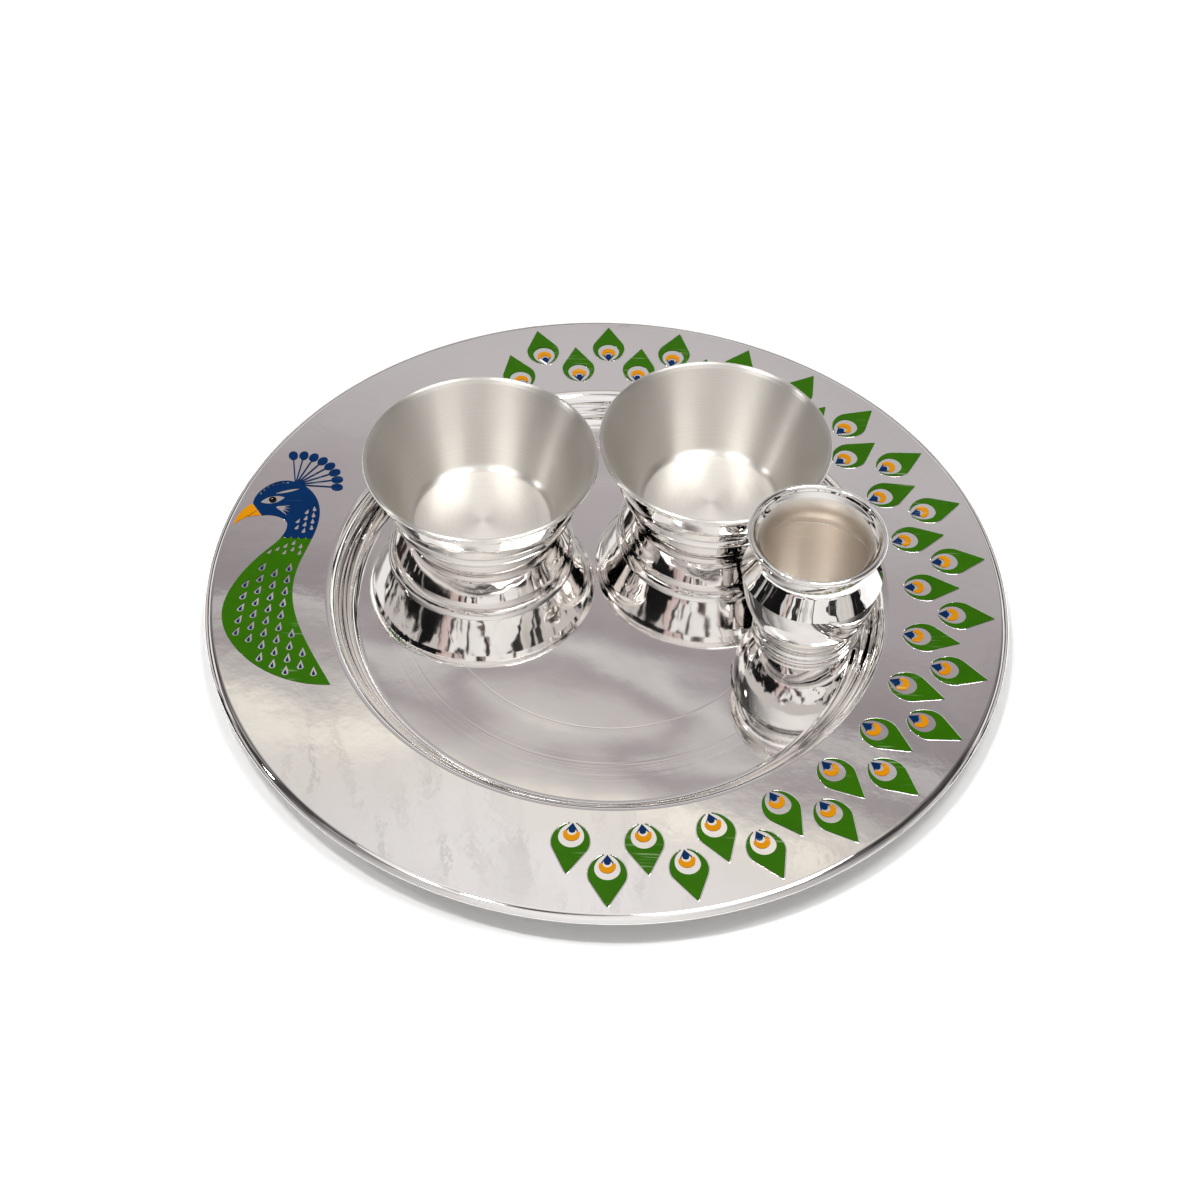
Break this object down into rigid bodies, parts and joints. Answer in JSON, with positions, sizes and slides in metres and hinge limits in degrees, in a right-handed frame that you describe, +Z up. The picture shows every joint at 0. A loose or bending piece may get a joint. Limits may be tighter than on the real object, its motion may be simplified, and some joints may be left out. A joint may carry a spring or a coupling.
{
  "type": "puja thali",
  "caption": "Round mirror-polished ritual tray with a wide peacock-enamel rim, holding loose flared bowls and a small water pot that lift out.",
  "frame": {"origin": "on the tray's axis, at the flat underside that it stands on", "axes": "+Z up, -Y towards the person who holds the tray, the peacock on -X"},
  "size_m": [0.28, 0.28, 0.0486],
  "materials": {
    "polished_silver_tray": "mirror-polished silver plate",
    "polished_silver_vessel": "silver plate, mirror outside and satin turned inside",
    "green_enamel": "gloss enamel",
    "blue_enamel": "gloss enamel",
    "amber_enamel": "gloss enamel",
    "black_enamel": "gloss enamel"
  },
  "bodies": {
    "tray": {"thali_tray": "polished_silver_tray", "feather_amber_enamel": "amber_enamel", "feather_blue_enamel": "blue_enamel", "feather_green_enamel": "green_enamel", "peacock_beak_enamel": "amber_enamel", "peacock_blue_enamel": "blue_enamel", "peacock_eye_enamel": "black_enamel", "peacock_green_enamel": "green_enamel"},
    "left_bowl": {"left_bowl_cup": "polished_silver_vessel", "left_bowl_waist_ring": "polished_silver_vessel"},
    "right_bowl": {"right_bowl_cup": "polished_silver_vessel", "right_bowl_waist_ring": "polished_silver_vessel"},
    "lota": {"lota_lower_half": "polished_silver_vessel", "lota_neck_half": "polished_silver_vessel", "lota_foot_ring": "polished_silver_vessel"}
  },
  "joints": [
    {"name": "left_bowl_lift", "type": "slide", "parent": "tray", "child": "left_bowl", "axis": [0, 0, 1], "range_m": [0, 0.08]},
    {"name": "right_bowl_lift", "type": "slide", "parent": "tray", "child": "right_bowl", "axis": [0, 0, 1], "range_m": [0, 0.08]},
    {"name": "lota_lift", "type": "slide", "parent": "tray", "child": "lota", "axis": [0, 0, 1], "range_m": [0, 0.08]}
  ]
}
